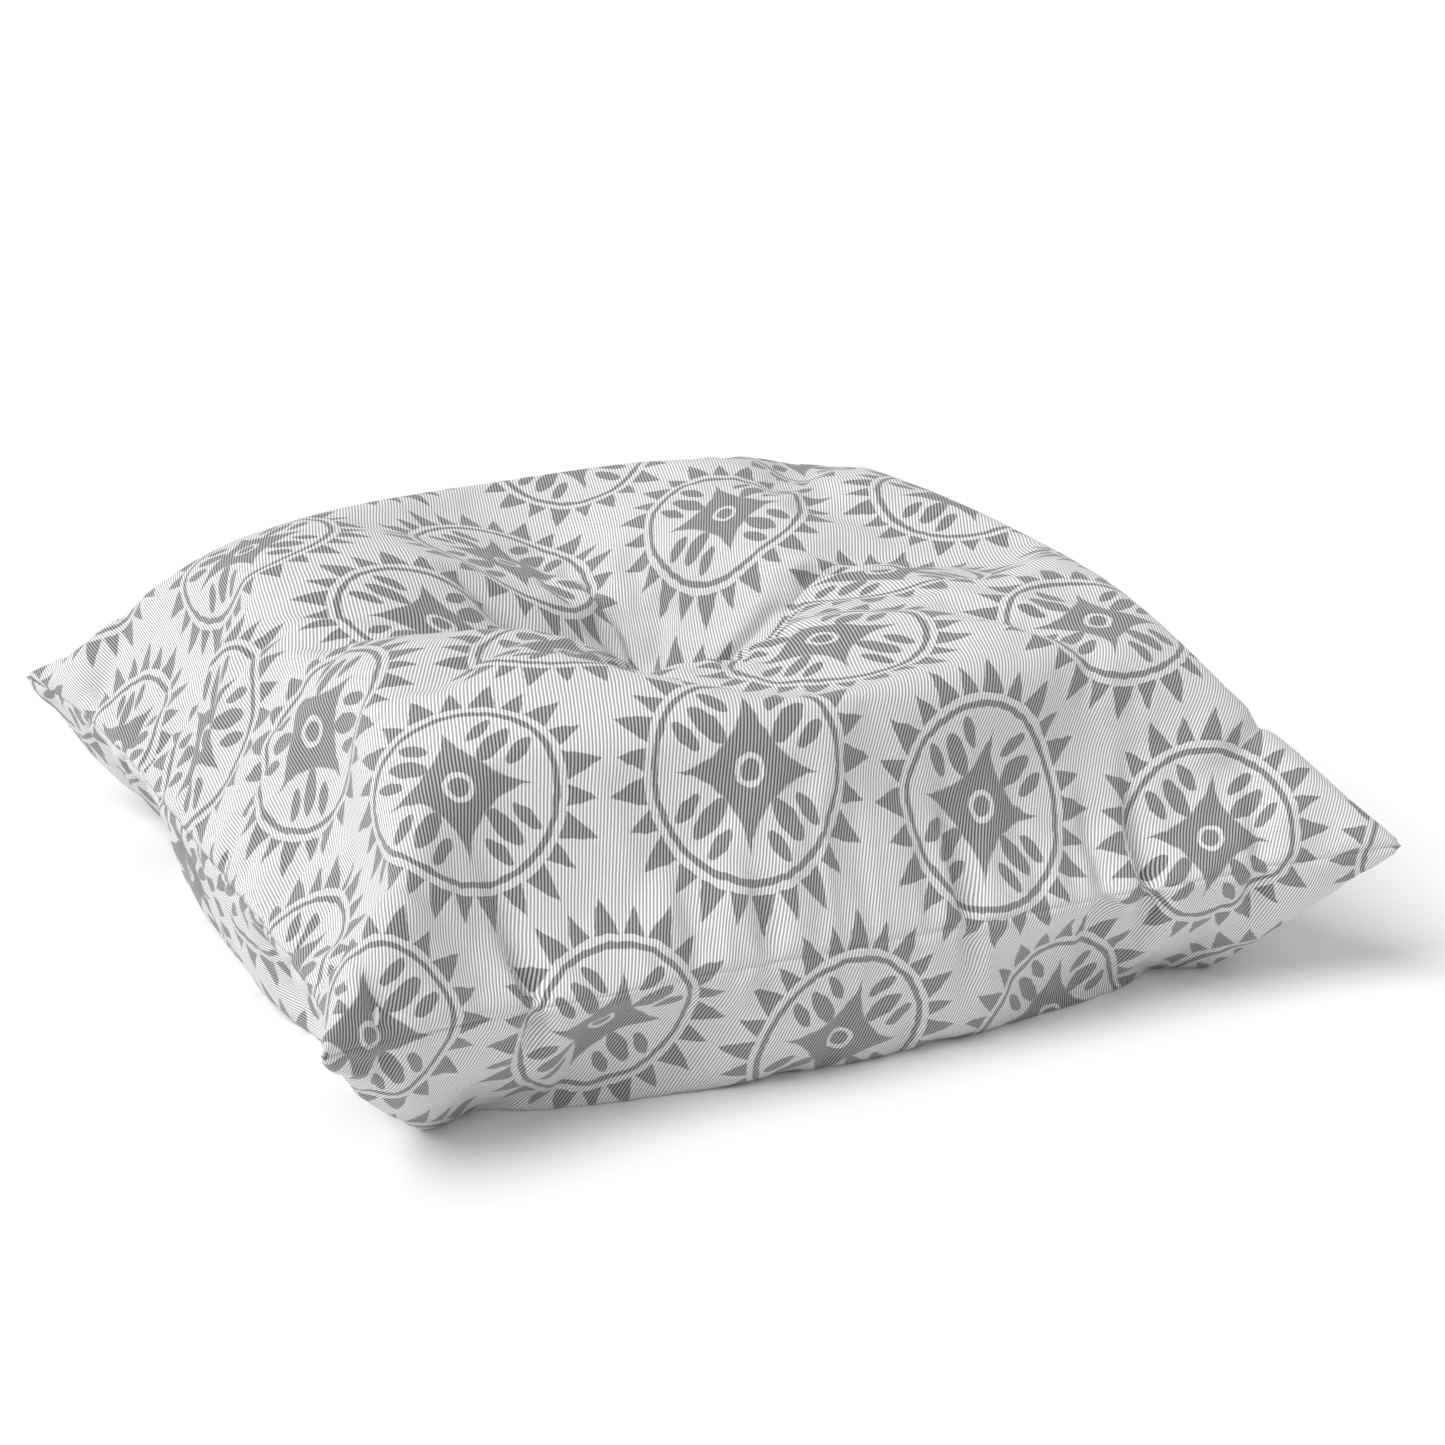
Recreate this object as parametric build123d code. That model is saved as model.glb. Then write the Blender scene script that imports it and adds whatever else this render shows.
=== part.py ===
from build123d import *
from math import exp, sqrt
import os

os.makedirs("parts", exist_ok=True)

# A square floor cushion lying flat: a printed cover in two panels joined by one seam all round, a zip in
# the back seam, a fibre-filled insert, and a tuft of doubled twine between two covered buttons.
# Millimetres. The origin is on the floor under the tuft, +X runs along the front side, +Y to the back.

# Whole cushion
side = 626.0                # corner to corner along each side, stuffed
side_pull = 20.0            # how far the middle of each side is drawn in
loft = 210.0                # floor to the top of the ridge round the tuft
seam_height = 80.0          # floor to the middle of the cover's seam

# Tuft
tuft_depth = 116.0          # top of the ridge down to the bottom of the upper hollow
tuft_spread = 116.0         # radius at which the upper hollow has mostly run out
under_depth = 22.0          # floor up to the top of the lower hollow
under_spread = 70.0         # radius at which the lower hollow has mostly run out

# Cloth, thread and clearances
cloth = 0.9                 # thickness of the cover's woven cloth
lining = 0.4                # thickness of the insert's plain cloth
seam_gap = 0.3              # between two panels along their seam, where the thread lies
seam_allowance = 10.0       # width of cover cloth turned in behind the seam
allowance_tuck = 0.2        # how far the turned-in cloth starts behind the seam's edge
thread = 0.6                # width of the seam thread
thread_inset = 1.0          # seam's edge to its thread
layer_gap = 0.3             # between one layer of the cushion and the next
insert_inset = 12.0         # cover's seam to the insert's seam
fill_inset = 4.0            # insert's seam to the edge of its fibre fill
fill_edge = 0.05            # half the height of the fill at its edge, where it runs out to nothing
sole_cut = 0.6              # how much the flat sole takes off the cover's lowest cloth

# Zip
zip_length = 400.0
zip_mouth = 14.0            # height of the opening in the seam that shows the zip
zip_setback = 6.6           # cover's seam to the middle of the tapes
tape_thickness = 0.6
tape_width = 9.5            # each tape, from its row of coil outward
row_gap = 1.2               # between the two rows of coil
row_width = 1.9             # each row, up and down
row_depth = 2.0             # each row, front to back
slider_length = 9.0
slider_height = 8.0
slider_plate = 1.0
slider_lip = 0.8
slider_corner = 1.5         # radius of its plates' corners
slider_gap = 0.3            # slider to coil and slider to tape
stop_length = 4.0
stop_wall = 0.8
stop_clearance = 0.4        # stop to slider at each end of its travel
pull_length = 24.0
pull_width = 6.4
pull_thickness = 1.0
pull_bar = 0.7              # radius of the pull's bar
bar_gap = 0.2               # bar to the bridge that holds it
bridge_wall = 1.0
bridge_width = 2.2
foot_height = 0.3           # front plate to the bridge's eye
arm_gap = 0.4               # bridge to the pull's arms

# Buttons and twine
button_radius = 16.0
button_height = 6.0
button_plate = 0.8
button_fit = 0.05           # cloth to former
twine = 1.0                 # radius of the twine
twine_gap = 0.15            # twine to the wire that it passes round
bend_slack = 0.2            # more room inside each bend of the twine
tuft_clearance = 0.8        # twine or shank to the hole that they pass through
wire = 0.8                  # radius of a shank's wire
shank_half_width = 2.6      # middle of the shank to the middle of its leg
knot_length = 5.0
knot_wall = 0.5
knot_fit = 0.05             # knot to the twine that it grips

# Worked out from the sizes above
half = side / 2
insert_clearance = cloth + layer_gap
fill_clearance = insert_clearance + lining + layer_gap
back_seam = half - side_pull
twine_bend = wire + twine + twine_gap + bend_slack
tuft_hole = max(twine_bend + twine, shank_half_width + wire) + tuft_clearance

# The pull lies inside the zip's opening at both ends of its travel, so the rows of coil stop short
zip_plane = back_seam - zip_setback
plate_face = zip_plane + row_depth / 2 + slider_gap + slider_plate
bridge_radius = pull_bar + bar_gap + bridge_wall
bar_y = plate_face + pull_bar + bar_gap + foot_height
tab_start = bridge_radius + bar_gap + pull_bar
slider_home = zip_length / 2 - tab_start - pull_length - stop_clearance
slider_travel = 2 * slider_home
row_reach = slider_home + slider_length / 2 + stop_clearance

# Powers that shape the cushion: the higher, the fuller it is towards its edges
SIDE_POWER = 6              # sides in plan
PLUMP_POWER = 4             # crown and belly
EDGE_POWER = 6              # how soon an inner layer leaves its seam for its full depth
BOWL_POWER = 3              # underside's rise to the seam

GRID = 37                   # points each way on a spline surface
OUTLINE_STEPS = 16          # stretches of the outline's spline along one side
PEAK_STEPS = 200            # places tried in finding the ridge's peak
TUFT_ROUNDS = 20            # rounds that settle the tuft's share of the crown


def half_width(along, inset=0.0):
    """Half the width of the cushion at a relative place, -1 to 1, along a side."""
    return half - inset - side_pull * (1 - along**SIDE_POWER)


def plump(x, y, inset=0.0, power=PLUMP_POWER):
    """1 over the middle of the cushion, running down to 0 on its seam less an inset."""
    u = x / half_width(y / (half - inset), inset)
    v = y / half_width(x / (half - inset), inset)
    return (1 - abs(u) ** power) * (1 - abs(v) ** power)


def dent(x, y, spread):
    """1 at the tuft, running out to 0 round it."""
    return exp(-((x * x + y * y) / spread**2))


def ridge_peak(share):
    """Highest value, along a diagonal, of the plump shape less a share of the tuft's dent."""
    places = [half * k / PEAK_STEPS for k in range(PEAK_STEPS)]
    return max(plump(d, d) - share * dent(d, d, tuft_spread) for d in places)


# The panels' outer faces start this far above and below the seam's middle, where the cloth turns in.
# The steepest stretch is the middle of a side, and its slope sets how much height the cloth takes up.
top_slope = PLUMP_POWER * (loft - seam_height) / ridge_peak(1.0) / back_seam
under_slope = BOWL_POWER * PLUMP_POWER * (seam_height + sole_cut) / back_seam
top_edge = seam_gap / 2 + cloth * sqrt(1 + top_slope**2)
under_edge = seam_gap / 2 + cloth * sqrt(1 + under_slope**2)

ridge_rise = loft - seam_height - top_edge
tuft_share = 1.0
for _ in range(TUFT_ROUNDS):
    tuft_share = 1 - (ridge_rise - tuft_depth) / ridge_rise * ridge_peak(tuft_share)
top_scale = ridge_rise / ridge_peak(tuft_share)


def crown(x, y):
    """Height of the cover's outer face on top."""
    shape = plump(x, y) - tuft_share * dent(x, y, tuft_spread) * plump(x, y)
    return seam_height + top_edge + top_scale * shape


def belly(x, y):
    """Height of the cover's outer face underneath, before the sole is cut flat."""
    bowl = (seam_height - under_edge + sole_cut) * (1 - plump(x, y)) ** BOWL_POWER
    return bowl - sole_cut + under_depth * dent(x, y, under_spread)


def steepness(height, x, y):
    """Length along the slope for each unit of plan, which turns thickness into height."""
    step = 0.5
    along_x = (height(x + step, y) - height(x - step, y)) / (2 * step)
    along_y = (height(x, y + step) - height(x, y - step)) / (2 * step)
    return sqrt(1 + along_x**2 + along_y**2)


def top_layer(depth, inset=0.0, edge=None):
    """Height function a depth below the crown. With an edge, it runs down to a seam of its own."""

    def height(x, y):
        below = crown(x, y) - depth * steepness(crown, x, y)
        if edge is None:
            return below
        taper = plump(x, y, inset, EDGE_POWER)
        return seam_height + edge * (1 - taper) + (below - seam_height) * taper

    return height


def under_layer(depth, inset=0.0, edge=None):
    """Height function a depth above the belly. With an edge, it runs up to a seam of its own."""

    def height(x, y):
        above = belly(x, y) + depth * steepness(belly, x, y)
        if edge is None:
            return above
        taper = plump(x, y, inset, EDGE_POWER)
        return seam_height - edge * (1 - taper) + (above - seam_height) * taper

    return height


def outline(inset, z):
    """The cushion's outline in plan, less an inset, as a face at height z."""
    steps = [-1 + 2 * k / OUTLINE_STEPS for k in range(OUTLINE_STEPS + 1)]
    front = [(t * half_width(1, inset), -half_width(t, inset), z) for t in steps]
    right = [(half_width(t, inset), t * half_width(1, inset), z) for t in steps]
    back = [(-x, -y, z) for x, y, _ in front]
    left = [(-x, -y, z) for x, y, _ in right]
    return Face(Wire([Spline(*points) for points in (front, right, back, left)]))


def ring(outer_inset, inner_inset, low, high):
    """Flat ring that follows the outline."""
    outer = extrude(outline(outer_inset, low), amount=high - low, dir=(0, 0, 1))
    return outer - extrude(outline(inner_inset, low), amount=high - low, dir=(0, 0, 1))


def spline_face(height, inset):
    """Spline surface of a height function over the outline less an inset."""
    steps = [-1 + 2 * k / (GRID - 1) for k in range(GRID)]
    rows = []
    for v in steps:
        places = [(u * half_width(v, inset), v * half_width(u, inset)) for u in steps]
        rows.append([Vector(x, y, height(x, y)) for x, y in places])
    return Face.make_surface_from_array_of_points(rows)


def layer(low, high, inset=0.0):
    """Closed solid between two height functions, with upright walls along the outline."""
    under = spline_face(low, inset)
    over = spline_face(high, inset)
    walls = []
    for edge in under.edges():
        match = min(over.edges(), key=lambda other: (other.center() - edge.center()).length)
        walls.append(Face.make_surface_from_curves(edge, match))
    return Solid(Shell([under, over, *walls]))


def tuft_bore():
    """The hole that the twine passes through, from under the cushion to over it."""
    return Pos(0, 0, loft / 2) * Cylinder(tuft_hole, 2 * loft)


def box_between(low, high):
    """Box from its lowest corner to its highest."""
    size = [b - a for a, b in zip(low, high)]
    middle = [(a + b) / 2 for a, b in zip(low, high)]
    return Pos(*middle) * Box(*size)


def zip_opening():
    """What is taken out of the back seam to show the zip."""
    low = (-zip_length / 2, back_seam - insert_inset, seam_height - zip_mouth / 2)
    high = (zip_length / 2, half, seam_height + zip_mouth / 2)
    return box_between(low, high)


def turned_in(low):
    """Cloth turned in behind the seam."""
    return ring(allowance_tuck, seam_allowance, low, low + cloth)


def top_panel():
    panel = layer(top_layer(cloth), crown) + turned_in(seam_height + seam_gap / 2)
    return panel - zip_opening() - tuft_bore()


def bottom_panel():
    panel = layer(belly, under_layer(cloth)) + turned_in(seam_height - seam_gap / 2 - cloth)
    floor = box_between((-half, -half, -2 * cloth), (half, half, 0))
    return panel - floor - zip_opening() - tuft_bore()


def cover_seam_thread():
    half_gap = seam_gap / 2
    loop = ring(thread_inset, thread_inset + thread, seam_height - half_gap, seam_height + half_gap)
    return loop - zip_opening()


def insert_sheet(over):
    """One of the insert's two plain sheets, which meet at a seam of their own."""
    inner = insert_clearance + lining
    edge = seam_gap / 2
    if over:
        low = top_layer(inner, insert_inset, edge)
        high = top_layer(insert_clearance, insert_inset, edge + lining)
    else:
        low = under_layer(insert_clearance, insert_inset, edge + lining)
        high = under_layer(inner, insert_inset, edge)
    return layer(low, high, insert_inset) - tuft_bore()


def insert_seam_thread():
    start = insert_inset + seam_gap
    return ring(start, start + thread, seam_height - seam_gap / 2, seam_height + seam_gap / 2)


def fibre_fill():
    inset = insert_inset + fill_inset
    low = under_layer(fill_clearance, inset, fill_edge)
    high = top_layer(fill_clearance, inset, fill_edge)
    return layer(low, high, inset) - tuft_bore()


def zip_row(sign):
    """One row of coil, above (1) or below (-1) the middle of the zip."""
    middle = seam_height + sign * (row_gap + row_width) / 2
    return Pos(0, zip_plane, middle) * Box(2 * row_reach, row_depth, row_width)


def zip_tape(sign):
    """One tape, which starts at the outer side of its row."""
    start = row_gap / 2 + row_width
    middle = seam_height + sign * (start + tape_width / 2)
    length = zip_length - 2 * seam_gap
    return Pos(0, zip_plane, middle) * Box(length, tape_thickness, tape_width)


def stop_clip(x, low, high):
    """Metal clip between two heights, slotted for any tape that it grips."""
    depth = row_depth + 2 * stop_wall
    clip = box_between(
        (x - stop_length / 2, zip_plane - depth / 2, low), (x + stop_length / 2, zip_plane + depth / 2, high)
    )
    tapes = zip_tape(1) + zip_tape(-1)
    return clip - tapes


def zip_stop_closed():
    """A clip on each tape, beyond the rows, where the slider ends when the zip is shut."""
    x = row_reach + stop_length / 2
    start = row_gap / 2
    reach = start + row_width + stop_wall
    clips = [stop_clip(x, seam_height + start, seam_height + reach)]
    clips.append(stop_clip(x, seam_height - reach, seam_height - start))
    return Compound(children=clips)


def zip_stop_open():
    """One clip across both tapes, beyond the rows, where the slider ends when the zip is open."""
    x = -row_reach - stop_length / 2
    reach = row_gap / 2 + row_width + stop_wall
    return stop_clip(x, seam_height - reach, seam_height + reach)


def slider_body():
    """Two rounded plates round the coil, each with lips, joined by a thin divider between the rows."""
    inside = row_depth / 2 + slider_gap
    slot = tape_thickness / 2 + slider_gap
    outline_xz = RectangleRounded(slider_length, slider_height, slider_corner)
    plate = extrude(outline_xz, amount=slider_plate / 2, both=True)
    body = Box(slider_length / 3, 2 * inside, row_gap - 2 * seam_gap)
    for facing in (1, -1):
        body += Pos(0, facing * (inside + slider_plate / 2), 0) * Rot(90, 0, 0) * plate
        for sign in (1, -1):
            lip_z = sign * (slider_height - slider_lip) / 2
            lip = Box(slider_length - 2 * slider_corner, inside - slot, slider_lip)
            body += Pos(0, facing * (slot + inside) / 2, lip_z) * lip
    return body


def zip_slider():
    """The slider's body with the bridge in front that holds the pull."""
    body = Pos(slider_home, zip_plane, seam_height) * slider_body()
    arch = Cylinder(bridge_radius, bridge_width)
    foot_depth = bar_y - plate_face
    arch += Pos(0, -foot_depth / 2, 0) * Box(2 * bridge_radius, foot_depth, bridge_width)
    arch = Pos(slider_home, bar_y, seam_height) * arch
    keep_above = box_between(
        (slider_home - slider_length / 2, plate_face, seam_height - slider_height / 2),
        (slider_home + slider_length / 2, bar_y + 2 * bridge_radius, seam_height + slider_height / 2),
    )
    eye = Pos(slider_home, bar_y, seam_height) * Cylinder(pull_bar + bar_gap, slider_height)
    return body + (arch & keep_above) - eye


def zip_pull():
    """Pull tab: a bar through the slider's bridge, two arms and a flat tab with an eye in its end."""
    bar_half = bridge_width / 2 + arm_gap
    arm = (pull_width / 2) - bar_half
    tab = Pos(-(tab_start + pull_length / 2), 0, 0) * Box(pull_length, pull_thickness, pull_width)
    tab = fillet(tab.edges().filter_by(Axis.Y), pull_width / 4)
    tab -= Pos(-(tab_start + pull_length - pull_width / 2), 0, 0) * Rot(90, 0, 0) * Cylinder(
        pull_width / 6, 2 * pull_thickness
    )
    pull = tab + Cylinder(pull_bar, 2 * bar_half + arm)
    for sign in (1, -1):
        reach = tab_start + pull_width / 2
        middle = sign * (bar_half + arm / 2)
        pull += Pos(-reach / 2, 0, middle) * Box(reach, pull_thickness, arm)
        pull += Pos(0, 0, middle) * Cylinder(pull_bar, arm)
    return Pos(slider_home, bar_y, seam_height) * pull


def dome(radius, height):
    """Cap of a ball that stands on the floor plane."""
    ball = (radius**2 + height**2) / (2 * height)
    return split(Pos(0, 0, height - ball) * Sphere(ball), bisect_by=Plane.XY, keep=Keep.TOP)


def shank():
    """Wire loop that hangs from a button's plate, which lies on z = 0."""
    drop = 2 * twine + 2 * twine_gap + wire + bend_slack
    path = Wire(
        [
            Line((-shank_half_width, 0, 0), (-shank_half_width, 0, -drop + shank_half_width)),
            ThreePointArc(
                (-shank_half_width, 0, -drop + shank_half_width),
                (0, 0, -drop),
                (shank_half_width, 0, -drop + shank_half_width),
            ),
            Line((shank_half_width, 0, -drop + shank_half_width), (shank_half_width, 0, 0)),
        ]
    )
    return sweep(Plane(path @ 0, z_dir=(0, 0, -1)) * Circle(wire), path=path), drop


top_button_base = crown(button_radius, 0) + layer_gap + cloth
under_button_base = belly(button_radius, 0) - layer_gap - cloth


def button_pieces():
    """A covered button that faces up, its plate's underside on z = 0."""
    inside = button_radius - cloth
    former = Pos(0, 0, button_plate) * dome(inside, button_height)
    plate = Pos(0, 0, button_plate / 2) * Cylinder(inside - cloth, button_plate)
    skin = Pos(0, 0, button_plate) * dome(button_radius, button_height + cloth)
    skin += Pos(0, 0, button_plate / 2) * Cylinder(button_radius, button_plate)
    room = Pos(0, 0, button_plate) * dome(inside + button_fit, button_height + button_fit)
    room += Pos(0, 0, button_plate / 2) * Cylinder(inside + button_fit, button_plate)
    cloth_cap = skin - room
    return {"cloth": cloth_cap, "former": former, "plate": plate, "shank": shank()[0]}


def twine_ends():
    """Heights of the middles of the twine's two bends, which pass round the shanks' wire."""
    rest = shank()[1] - wire - twine - twine_gap
    return top_button_base - rest - twine_bend, under_button_base + rest + twine_bend


def tuft_twine():
    """Twine doubled through both shanks, pulled tight."""
    high, low = twine_ends()
    path = Wire(
        [
            Line((0, twine_bend, low), (0, twine_bend, high)),
            ThreePointArc((0, twine_bend, high), (0, 0, high + twine_bend), (0, -twine_bend, high)),
            Line((0, -twine_bend, high), (0, -twine_bend, low)),
            ThreePointArc((0, -twine_bend, low), (0, 0, low - twine_bend), (0, twine_bend, low)),
        ]
    )
    return sweep(Plane(path @ 0, z_dir=(0, 0, 1)) * Circle(twine), path=path)


def tuft_knot():
    """Knot that ties the doubled twine, low in the cushion."""
    low = twine_ends()[1]
    radius = twine_bend + twine + knot_wall
    knot = Cylinder(radius, knot_length)
    for sign in (1, -1):
        knot -= Pos(0, sign * twine_bend, 0) * Cylinder(twine + knot_fit, 2 * knot_length)
    knot = fillet(knot.edges().filter_by(GeomType.CIRCLE).sort_by(SortBy.LENGTH)[-2:], knot_length / 5)
    return Pos(0, 0, low + knot_length) * knot


nodes = {
    "top_panel": top_panel(),
    "bottom_panel": bottom_panel(),
    "cover_seam_thread": cover_seam_thread(),
    "zip_tape_upper": zip_tape(1),
    "zip_tape_lower": zip_tape(-1),
    "zip_coil_upper": zip_row(1),
    "zip_coil_lower": zip_row(-1),
    "zip_stop_closed": zip_stop_closed(),
    "zip_stop_open": zip_stop_open(),
    "zip_slider": zip_slider(),
    "zip_pull": zip_pull(),
    "insert_top_sheet": insert_sheet(over=True),
    "insert_bottom_sheet": insert_sheet(over=False),
    "insert_seam_thread": insert_seam_thread(),
    "fibre_fill": fibre_fill(),
    "tuft_twine": tuft_twine(),
    "tuft_knot": tuft_knot(),
}
for name, piece in button_pieces().items():
    nodes["top_button_" + name] = Pos(0, 0, top_button_base) * piece
    nodes["bottom_button_" + name] = Pos(0, 0, under_button_base) * Rot(180, 0, 0) * piece

for name, shape in nodes.items():
    export_step(shape, f"parts/{name}.step")

print("slider home x", round(slider_home, 3), "travel", round(slider_travel, 3))
print("bar axis y", round(bar_y, 3), "z", seam_height)
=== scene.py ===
import bpy
import bmesh
import numpy as np
from math import cos, pi, radians, sin
from mathutils import Matrix, Vector
from mathutils.bvhtree import BVHTree


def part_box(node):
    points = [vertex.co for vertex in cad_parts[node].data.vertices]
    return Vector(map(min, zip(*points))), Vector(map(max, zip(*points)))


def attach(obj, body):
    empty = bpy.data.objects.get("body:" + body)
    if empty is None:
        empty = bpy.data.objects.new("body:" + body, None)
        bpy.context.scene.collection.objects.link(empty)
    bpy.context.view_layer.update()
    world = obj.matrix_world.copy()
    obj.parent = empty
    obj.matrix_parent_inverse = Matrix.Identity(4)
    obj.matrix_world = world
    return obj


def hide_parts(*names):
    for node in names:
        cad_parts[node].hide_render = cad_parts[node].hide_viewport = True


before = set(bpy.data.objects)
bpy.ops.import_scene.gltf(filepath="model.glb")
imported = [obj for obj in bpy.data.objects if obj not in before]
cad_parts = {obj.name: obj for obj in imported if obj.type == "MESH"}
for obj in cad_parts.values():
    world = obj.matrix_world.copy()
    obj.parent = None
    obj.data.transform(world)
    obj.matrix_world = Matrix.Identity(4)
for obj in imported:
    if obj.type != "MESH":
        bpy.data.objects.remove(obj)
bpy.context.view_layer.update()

# Cover ---------------------------------------------------------------------------------------------
# Two square panels of printed twill cotton, sewn right sides together round all four sides, turned out
# and stuffed until they crown. The seam gathers the cloth a little, so short puckers cross it.
low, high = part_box("top_panel")
HALF = high.x
SEAM_Z = (low.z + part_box("bottom_panel")[1].z) / 2
SIDE_PULL = 0.020
SIDE_POWER = 6
CORNER_LIFT = 0.011
LIFT_POWER = 6
CORNER_EAR = 0.008
EAR_POWER = 5
CROWN_RISE = 0.177
CROWN_ROUND = 0.433
BELLY_DROP = 0.166
BELLY_ROUND = 0.430
TUFT_SPREAD = 0.110
TUFT_FLAT = 0.017
BUTTON_GAP = 0.0005
FOLD_LEFT = 0.034
FOLD_RIGHT = 0.010
FOLD_WIDTH = 0.060
FOLD_POWER = 1.2
UNDER_SPREAD = 0.040
LEAN_X = 0.09
LEAN_XY = 0.054
CELLS = 116
tuft_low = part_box("top_button_cloth")[0].z - BUTTON_GAP
tuft_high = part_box("bottom_button_cloth")[1].z + BUTTON_GAP


def half_width(along):
    """Half the cushion's width at a relative place along a side, as the sides pull in."""
    return HALF - SIDE_PULL * (1 - np.abs(along) ** SIDE_POWER)


def stuffed(u, v, over):
    """Points of one panel, stuffed, for relative places u and v from side to side."""
    ear = CORNER_EAR * np.abs(u * v) ** EAR_POWER
    x = u * half_width(v) + np.sign(u) * ear
    y = v * half_width(u) + np.sign(v) * ear
    full = (1 - u**2).clip(0) * (1 - v**2).clip(0)
    away = (np.hypot(x, y) - TUFT_FLAT).clip(0)
    seam = SEAM_Z + CORNER_LIFT * (u * v) ** LIFT_POWER
    if over:
        crown = full**CROWN_ROUND
        rise = CROWN_RISE * (1 + LEAN_X * u + LEAN_XY * u * v)
        share = 1 - (tuft_low - SEAM_Z) / CROWN_RISE
        tuft = 1 - share * np.exp(-((away / TUFT_SPREAD) ** 2))
        fold = np.where(u < 0, FOLD_LEFT, FOLD_RIGHT) * np.abs(u) ** FOLD_POWER * crown
        z = seam + rise * crown * tuft - fold * np.exp(-((y / FOLD_WIDTH) ** 2))
    else:
        rise = tuft_high * np.exp(-((away / UNDER_SPREAD) ** 2))
        z = np.maximum(seam - BELLY_DROP * full**BELLY_ROUND, 0.0) + rise
    return np.stack([x, y, z], axis=-1)


def evenly(over, rounds=6):
    """Relative places for a grid on one panel, spaced evenly over the stuffed cloth."""
    start = np.sin(np.linspace(-pi / 2, pi / 2, CELLS + 1))
    u, v = np.meshgrid(start, start, indexing="ij")
    share = np.linspace(0, 1, CELLS + 1)
    for _ in range(rounds):
        for axis in (0, 1):
            step = np.linalg.norm(np.diff(stuffed(u, v, over), axis=axis), axis=-1)
            for line in range(CELLS + 1):
                row = (slice(None), line) if axis == 0 else (line, slice(None))
                run = np.concatenate([[0], np.cumsum(step[row[0], row[1]])])
                u[row] = np.interp(share, run / run[-1], u[row])
                v[row] = np.interp(share, run / run[-1], v[row])
    return u, v


def finished(bm, name):
    """A new mesh from a bmesh, which is let go."""
    mesh = bpy.data.meshes.new(name)
    bm.to_mesh(mesh)
    bm.free()
    return mesh


def new_piece(name, mesh):
    """A new object for a mesh, at the origin."""
    piece = bpy.data.objects.new(name, mesh)
    bpy.context.scene.collection.objects.link(piece)
    return piece


def panel_grid():
    """Both panels as one closed mesh. The place attribute holds the cloth's own places and its side."""
    bm = bmesh.new()
    place = bm.verts.layers.float_vector.new("place")
    for over in (True, False):
        u, v = evenly(over)
        points = stuffed(u, v, over)
        known = set(bm.faces)
        made = bmesh.ops.create_grid(bm, x_segments=CELLS, y_segments=CELLS, size=1, calc_uvs=False)
        for vert in made["verts"]:
            s, t = vert.co.x, vert.co.y
            at_edge = max(abs(s), abs(t)) > 1 - 1e-4
            vert[place] = (s, t, 0 if at_edge else (1 if over else -1))
            i, j = round((s + 1) / 2 * CELLS), round((t + 1) / 2 * CELLS)
            vert.co = points[i, j]
        if not over:
            bmesh.ops.reverse_faces(bm, faces=[face for face in bm.faces if face not in known])
    bmesh.ops.remove_doubles(bm, verts=bm.verts, dist=1e-6)
    return finished(bm, "cover")


def read(mesh, name=None):
    """A mesh's points, or one of its point attributes, as rows of three."""
    rows = np.zeros(len(mesh.vertices) * 3)
    if name:
        mesh.attributes[name].data.foreach_get("vector", rows)
    else:
        mesh.vertices.foreach_get("co", rows)
    return rows.reshape(-1, 3)


def on_seam(mesh):
    """Which of a closed pair's points lie on the seam, where the place attribute's side is 0."""
    return np.abs(read(mesh, "place")[:, 2]) < 0.5


def settled(piece):
    """A piece as its modifiers leave it now."""
    return piece.evaluated_get(bpy.context.evaluated_depsgraph_get())


def write(mesh, points):
    """Put a mesh's points where rows of three say."""
    mesh.vertices.foreach_set("co", np.ascontiguousarray(points).ravel())
    mesh.update()


def apply_modifiers(piece):
    """Replace a piece's mesh by what its modifiers make of it."""
    made = bpy.data.meshes.new_from_object(settled(piece))
    piece.modifiers.clear()
    piece.data = made


cover = new_piece("cover", panel_grid())
TUFT_HOLD = 0.022
PRESSURE = 1.5
GROWTH = 0.05
FRAMES = 16
MOST_MOVE = 0.026
CLOTH = 0.0009


def fill_with_air(piece, held):
    """Settle the cloth over its stuffing: a soft push from inside, on cloth cut a little too large."""
    pins = piece.vertex_groups.new(name="held")
    pins.add([int(k) for k in np.nonzero(held)[0]], 1.0, "REPLACE")
    settings = piece.modifiers.new("Cloth", "CLOTH").settings
    settings.quality = 6
    settings.mass = 0.3
    settings.tension_stiffness = 40
    settings.compression_stiffness = 15
    settings.shear_stiffness = 10
    settings.bending_stiffness = 0.2
    settings.use_pressure = True
    settings.uniform_pressure_force = PRESSURE
    settings.vertex_group_mass = "held"
    settings.pin_stiffness = 1.0
    settings.effector_weights.gravity = 0
    settings.shrink_min = -GROWTH
    piece.modifiers["Cloth"].collision_settings.use_collision = False
    piece.modifiers["Cloth"].point_cache.frame_end = FRAMES
    for frame_number in range(1, FRAMES + 1):
        bpy.context.scene.frame_set(frame_number)
    start = read(piece.data)
    end = read(settled(piece).data)
    piece.modifiers.clear()
    move = end - start
    length = np.linalg.norm(move, axis=1, keepdims=True).clip(1e-9)
    end = start + move * np.minimum(1, MOST_MOVE / length)
    end[:, 2] = end[:, 2].clip(0)
    write(piece.data, end)


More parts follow.
